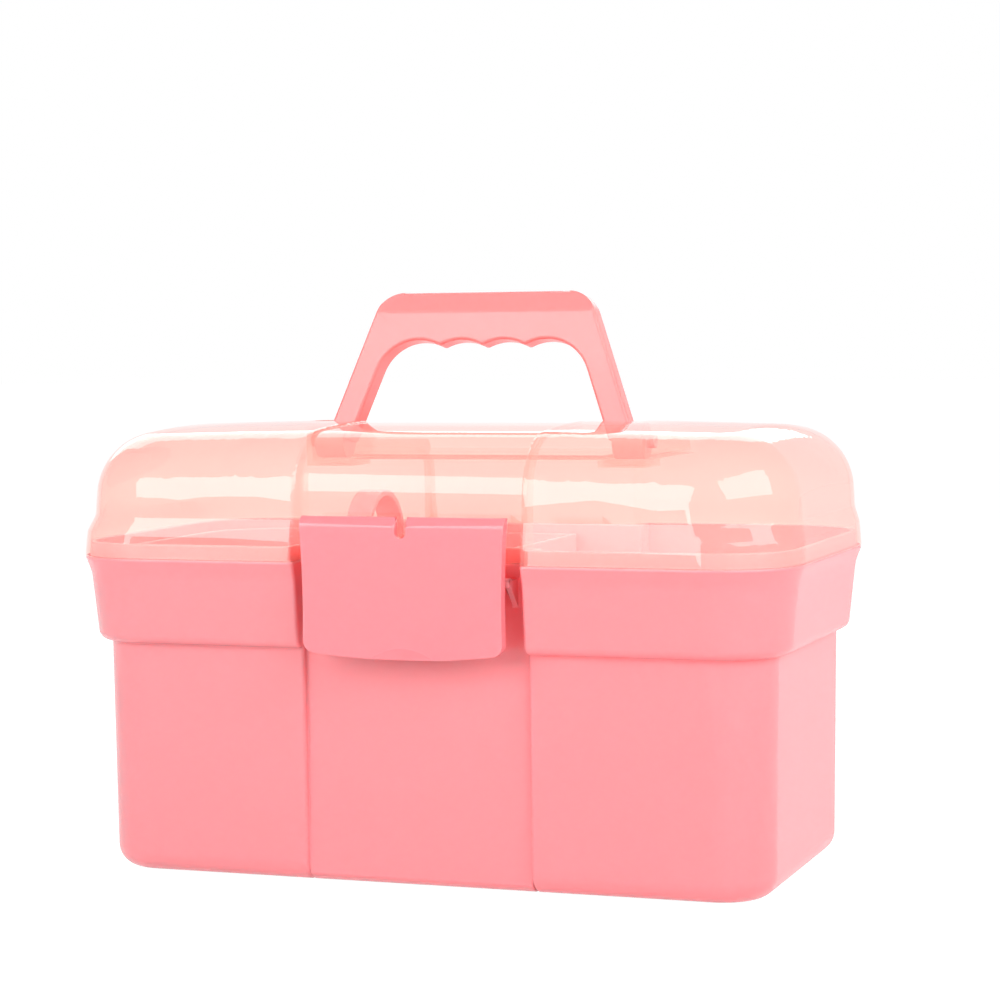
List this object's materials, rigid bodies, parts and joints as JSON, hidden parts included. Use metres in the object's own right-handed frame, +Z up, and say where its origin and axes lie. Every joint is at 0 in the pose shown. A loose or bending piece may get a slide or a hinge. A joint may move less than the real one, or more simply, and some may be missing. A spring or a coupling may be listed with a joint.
{
  "type": "carry storage box",
  "caption": "Moulded plastic carry box with a clear hinged lid, a snap latch, a folding carry handle and a lift-out divided tray",
  "frame": {"origin": "middle of the flat base that the box stands on", "axes": "+Z up, +X along the box's length to the right as seen from the latch side, +Y towards the hinge at the back"},
  "size_m": [0.33, 0.1892, 0.2564],
  "materials": {
    "tub_pink": "semi-gloss moulded polypropylene",
    "lid_clear": "clear tinted, polished",
    "handle_pink": "semi-gloss moulded polypropylene",
    "latch_pink": "semi-gloss moulded polypropylene",
    "tray_pink": "semi-gloss moulded polypropylene"
  },
  "bodies": {
    "tub": {"tub": "tub_pink"},
    "lid": {"lid": "lid_clear"},
    "carry_handle": {"carry_handle": "handle_pink"},
    "front_latch": {"front_latch": "latch_pink"},
    "lift_out_tray": {"lift_out_tray": "tray_pink"}
  },
  "joints": [
    {"name": "lid_hinge", "type": "hinge", "parent": "tub", "child": "lid", "pos_m": [0, 0.0915, 0.1375], "axis": [-1, 0, 0], "range_deg": [0, 105]},
    {"name": "latch_hinge", "type": "hinge", "parent": "lid", "child": "front_latch", "pos_m": [0, -0.0824, 0.1505], "axis": [-1, 0, 0], "range_deg": [0, 50]},
    {"name": "handle_fold", "type": "hinge", "parent": "lid", "child": "carry_handle", "pos_m": [0, 0.0085, 0.1888], "axis": [-1, 0, 0], "range_deg": [-20, 79]},
    {"name": "tray_lift", "type": "slide", "parent": "tub", "child": "lift_out_tray", "axis": [0, 0, 1], "range_m": [0, 0.01]}
  ]
}
